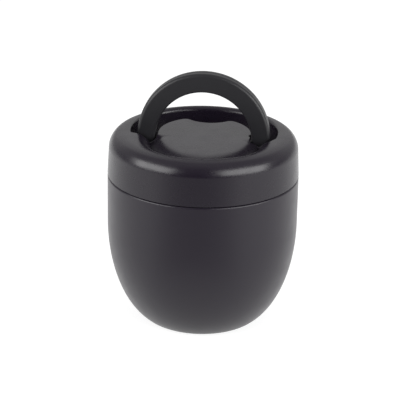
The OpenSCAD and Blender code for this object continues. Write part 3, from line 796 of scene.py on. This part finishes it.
# %% [markdown]
# ## The handle
#
# The handle is made of two mouldings that meet on a flat plane, each a flat, rounded
# section carried up one leg, over the arch and down the other leg. Both have a small
# bevel where they meet on the outside, which shows as a fine line along the handle's
# edge. A curve with a bevel object could carry the section too, but it could not open
# the bore for the pin or shape the feet.

# %% Section of the handle
BAND = 10.2             # width of the handle's band
HALF_T = 4.3            # thickness of one half
ARCH_R = 32.7           # radius of the arch, to the middle of the band
ARCH_Z = 109.3          # height of the arch's centre
OUTER_ROUND, INNER_ROUND = 1.8, 0.7     # fillets along the band's outer and inner edges
PARTING = 0.35          # bevel where the two halves meet


def half_section():
    """(distance from the band's middle, depth from the joint) round one half, starting inside."""
    side = BAND / 2
    corners = rounded([(-side, 0), (-side, HALF_T, INNER_ROUND), (side, HALF_T, OUTER_ROUND),
                       (side, PARTING), (side - PARTING, 0)], 9)
    return np.concatenate([corners, [(0, 0), (-side, 0)]])


print("the section of one half has", len(half_section()), "points")

# %% [markdown]
# The front half ends in square heels, which stop the handle when it stands; the back
# half ends in round ones, so that it can fold. Round the pin both halves leave a bore
# open. Each of these limits how deep the section may be at a height, so every row up a
# leg is the same section held within those limits, and no boolean is needed.

# %% Half of the handle
HEEL = 100.1            # height of the front half's heels
HEEL_BEVEL = 0.6
PIN_BORE = 1.8
ARCH_GROWS = 0.5        # how much further in the arch's inner edge lies than the legs'


def leg_heights(low):
    """Rows up a leg: the given ones at its foot, then close together round the pin's bore."""
    bore = AXIS + PIN_BORE * np.sin(np.radians(np.linspace(-90, 90, 25)))
    return np.unique(np.concatenate([low, bore, np.linspace(AXIS + PIN_BORE + 0.1, ARCH_Z, 9)]))


def handle_half(front):
    """The section carried along leg, arch and leg: x = +-(R + q), z = height, y = -+depth.

    Over the arch the radius is R + q less a growth that rises from nothing at the legs
    and counts fully at the inner edge, half at the middle and not at the outer edge.
    At the heels the depth is held below half thickness - bevel + height over the heel,
    or in the back half scaled by a circle's height, and at the bore above a circle's.
    """
    q, depth = half_section().T
    if front:
        bevel = HEEL + np.array([0, 0.1, 0.3, 0.5, HEEL_BEVEL])
        heights = leg_heights(np.concatenate([
            bevel, np.linspace(bevel[-1] + 0.1, AXIS - PIN_BORE - 0.1, 5)]))
        limit = np.clip(HALF_T - HEEL_BEVEL + heights - HEEL, 0, HALF_T)[:, None]
        depths = np.minimum(depth, limit)
    else:
        heights = leg_heights(AXIS - HALF_T * np.sin(np.radians(np.linspace(84, 0, 29))))
        below = np.clip(AXIS - heights, 0, HALF_T)[:, None]
        depths = depth * np.sqrt(HALF_T ** 2 - below ** 2) / HALF_T
    bore = np.sqrt(np.clip(PIN_BORE ** 2 - (heights - AXIS) ** 2, 0, None))[:, None]
    depths = np.maximum(depths, bore)
    leg = np.stack([ARCH_R + q + 0 * depths, depths, heights[:, None] + 0 * depths], -1)
    a = np.radians(np.linspace(0, 180, 97))[1:-1, None]
    r = ARCH_R + q - ARCH_GROWS * ease(np.sin(a) / 0.45) * np.clip(0.5 - q / BAND, 0, 1)
    arch = np.stack([r * np.cos(a), depth + 0 * a, ARCH_Z + r * np.sin(a)], -1)
    grid = np.concatenate([leg, arch, leg[::-1] * np.array([-1, 1, 1])])
    caps = [np.stack([end, end.mean(0) + 0 * end]) for end in (grid[0], grid[-1])]
    way = np.array([1, -1 if front else 1, 1])
    return [(sheet * way, True) for sheet in (grid, *caps)]


for front, node in ((True, "handle_front"), (False, "handle_back")):
    add_piece(node + "_moulded", handle_half(front), "handle", "handle_plastic", [node], crease=42)

# %% [markdown]
# Each leg turns on a headed steel pin that is pushed in from the hollow island, with
# a black nylon washer on both sides whose friction holds the handle where it is put.
# Primitives would give them knife edges, so they are turned like the real ones, only
# round a line along X.

# %% Pins and washers
pin_profile = rounded([(0, 23.6), (3, 23.6, 0.5), (3, 25.2, 0.15), (1.75, 25.2),
                       (1.75, 44.6, 0.35), (0, 44.6)])
pins = [turned_on_axis(pin_profile, side, AXIS, 48, False) for side in (1, -1)]
add_piece("handle_pins_turned", pins, "lid", "pin_steel", ["handle_pins"])
washers = []
for x in (26.65, 37.85):
    washer = rounded([(1.8, x, 0.1), (3.5, x, 0.15), (3.5, x + 0.9, 0.15), (1.8, x + 0.9, 0.1)])
    washers += [turned_on_axis(washer, side, AXIS, 56) for side in (1, -1)]
add_piece("friction_washers_nylon", washers, "lid", "washer_plastic", ["friction_washers"])

# %% [markdown]
# ## The studio
#
# The jar stands on white paper in a white room. Black gloss shows what it mirrors, so
# the room matters more than the lamps. Paper and room are made of nodes that do sums
# with places, and these helpers keep the sums readable. The nodes could be wired by
# hand in the node editor, but a formula is easier to check in writing. Paper and lamps
# are measured in metres.

# %% Nodes for the studio
def maths(tree, kind, a, b, c=None):
    """A maths node on sockets or numbers."""
    node = tree.nodes.new("ShaderNodeMath")
    node.operation = kind
    for socket, value in zip(node.inputs, (a, b, c)):
        if isinstance(value, bpy.types.NodeSocket):
            tree.links.new(value, socket)
        elif value is not None:
            socket.default_value = value
    return node.outputs[0]


def fade(tree, value, start, end):
    """A smooth step from 0 at start to 1 at end."""
    node = tree.nodes.new("ShaderNodeMapRange")
    node.interpolation_type = "SMOOTHSTEP"
    tree.links.new(value, node.inputs["Value"])
    node.inputs["From Min"].default_value = start
    node.inputs["From Max"].default_value = end
    return node.outputs["Result"]


def mixed(tree, share, first, second):
    """A blend of two shaders: all of the second where share is 1."""
    node = tree.nodes.new("ShaderNodeMixShader")
    for output, socket in zip((share, first, second), node.inputs):
        tree.links.new(output, socket)
    return node.outputs[0]


print("helpers: sums, fades, blends")

# %% [markdown]
# The floor is a sheet of white paper. Lamps strong enough to turn it white would
# burn out the steel, so it glows a little for the camera and for mirrored rays, which
# lifts it to white and keeps its shadow. What the jar mirrors of it is darker out in
# front, and from below the paper can be seen through, so that the jar's underside can
# be looked at.

# %% Floor
REACH = 4.0             # half the sheet's width in metres
GLOW, GLOW_LOST = 0.8, 0.6          # the paper's glow, and how much of it mirrors lose in front
floor_mesh = bpy.data.meshes.new("floor")
floor_mesh.from_pydata([(-REACH, -REACH, 0), (REACH, -REACH, 0), (REACH, REACH, 0),
                        (-REACH, REACH, 0)], [], [(0, 1, 2, 3)])
floor = add_object("floor", floor_mesh)
paper, tree, shader = new_finish("white_paper", (0.35, 0.35, 0.35), 0.9)
shader.inputs["Specular IOR Level"].default_value = 0.0
x, y, _ = split(tree, "Object")
squares = maths(tree, "ADD", maths(tree, "MULTIPLY", x, x), maths(tree, "MULTIPLY", y, y))
distance = maths(tree, "POWER", squares, 0.5)
in_front = fade(tree, maths(tree, "DIVIDE", y, distance), -0.6, -1.0)
near, far = fade(tree, distance, 0.04, 0.2), fade(tree, distance, 0.22, 0.45)
darker = maths(tree, "MULTIPLY", in_front, maths(tree, "MULTIPLY_ADD", far, 0.28, near))
paths = tree.nodes.new("ShaderNodeLightPath").outputs
mirrored = maths(tree, "SUBTRACT", 1.0, paths["Is Camera Ray"])
level = maths(tree, "MULTIPLY_ADD", maths(tree, "MULTIPLY", darker, mirrored), -GLOW_LOST, GLOW)
seen = maths(tree, "MAXIMUM", paths["Is Camera Ray"], paths["Is Glossy Ray"])
seen = maths(tree, "MAXIMUM", seen, paths["Is Transmission Ray"])
glow = tree.nodes.new("ShaderNodeEmission")
tree.links.new(maths(tree, "MULTIPLY", level, seen), glow.inputs["Strength"])
add = tree.nodes.new("ShaderNodeAddShader")
tree.links.new(shader.outputs[0], add.inputs[0])
tree.links.new(glow.outputs[0], add.inputs[1])
from_below = tree.nodes.new("ShaderNodeNewGeometry").outputs["Backfacing"]
clear = tree.nodes.new("ShaderNodeBsdfTransparent").outputs[0]
tree.links.new(mixed(tree, from_below, add.outputs[0], clear),
               tree.nodes["Material Output"].inputs["Surface"])
floor_mesh.materials.append(paper)
print("the paper is", 2 * REACH, "m wide")

# %% [markdown]
# The room is what the jar mirrors: the walls are light behind the jar, grey along the
# horizon and dark in front, where somebody stands with the camera. A picture of a
# real studio could light the scene too, but three fades give the same bands of light
# and dark. The camera itself sees plain white.

# %% Room
HORIZON, OVERHEAD, BEHIND = 0.4, 0.35, 0.25     # light at the horizon, and more above and behind
FRONT_LOST = 0.88       # share of the light that is missing in front
world = bpy.data.worlds.new("studio")
bpy.context.scene.world = world
world.use_nodes = True
room = world.node_tree
room.nodes.clear()
_, y, z = split(room, "Generated")
level = maths(room, "MULTIPLY_ADD", fade(room, z, 0.05, 0.45), OVERHEAD, HORIZON)
level = maths(room, "MULTIPLY_ADD", fade(room, y, 0.2, 0.85), BEHIND, level)
kept = maths(room, "MULTIPLY_ADD", fade(room, y, -0.2, -0.9), -FRONT_LOST, 1.0)
level = maths(room, "MULTIPLY", level, kept)
walls = room.nodes.new("ShaderNodeBackground")
room.links.new(level, walls.inputs["Strength"])
backdrop = room.nodes.new("ShaderNodeBackground")
backdrop.inputs["Color"].default_value = (1, 1, 1, 1)
seen = room.nodes.new("ShaderNodeLightPath").outputs["Is Camera Ray"]
room.links.new(mixed(room, seen, walls.outputs[0], backdrop.outputs[0]),
               room.nodes.new("ShaderNodeOutputWorld").inputs["Surface"])
print("the room has", len(room.nodes), "nodes")

# %% [markdown]
# Two soft boxes, front left and front right, lay the two soft highlights on the lid's
# shoulder. Bare bulbs would make hard white dots there. A gloss shows a lamp's shape,
# so their width, height and roll set the form of the highlights.

# %% Soft boxes
BOX_AIM = Vector((0, 0, 0.07))      # the soft boxes face this point


def soft_box(name, azimuth, elevation, roll, width, height, radiance, distance=1.0):
    """A rectangular lamp that faces the jar from azimuth degrees to the right of the front.

    Its power is radiance times pi times its area, and roll turns it about its beam.
    """
    data = bpy.data.lights.new(name, "AREA")
    data.shape = "RECTANGLE"
    data.size, data.size_y = width, height
    data.energy = radiance * np.pi * width * height
    a, e = np.radians([azimuth, elevation])
    way = Vector((np.sin(a) * np.cos(e), -np.cos(a) * np.cos(e), np.sin(e)))
    lamp = add_object(name, data)
    lamp.location = way * distance + BOX_AIM
    facing = way.to_track_quat("Z", "Y") @ Quaternion((0, 0, 1), np.radians(roll))
    lamp.rotation_euler = facing.to_euler()
    lamp.visible_camera = False
    print(f"{name}: {data.energy:.1f} W")


soft_box("soft_box_left", -57, 23, 6, 0.88, 0.5, 5.6)
soft_box("soft_box_right", 57, 22, -12, 1.05, 0.5, 5.6)

# %% [markdown]
# ## The camera
#
# A long lens stands a little above the jar and slightly to its right, turned by one
# degree. A short lens close up would make the lid bulge. Its place is worked out from
# two angles and a distance, which are easier to change than three coordinates.

# %% Camera
TURN, RISE, ROLL = np.radians([5.8, 22.3, 1.0])
AIM, DISTANCE = np.array([0, 0, 68.1]), 779.0
FOCAL, SENSOR = 120.45, 36
SHIFT = -0.0065, 0.00725            # how far the picture's middle lies from the lens's axis
forward = np.array([-np.sin(TURN) * np.cos(RISE), np.cos(TURN) * np.cos(RISE), -np.sin(RISE)])
right = np.array([np.cos(TURN), np.sin(TURN), 0])
up = np.cross(right, forward)
right, up = right * np.cos(ROLL) + up * np.sin(ROLL), up * np.cos(ROLL) - right * np.sin(ROLL)
pose = np.eye(4)
pose[:3] = np.stack([right, up, -forward, (AIM - DISTANCE * forward) * MM], 1)
lens = bpy.data.cameras.new("camera")
lens.lens, lens.sensor_width = FOCAL, SENSOR
lens.shift_x, lens.shift_y = SHIFT
camera = add_object("camera", lens)
camera.matrix_world = Matrix(pose.tolist())
bpy.context.scene.camera = camera
bpy.context.scene.view_settings.view_transform = "Standard"
print("the camera stands", DISTANCE, "mm from the point it aims at")
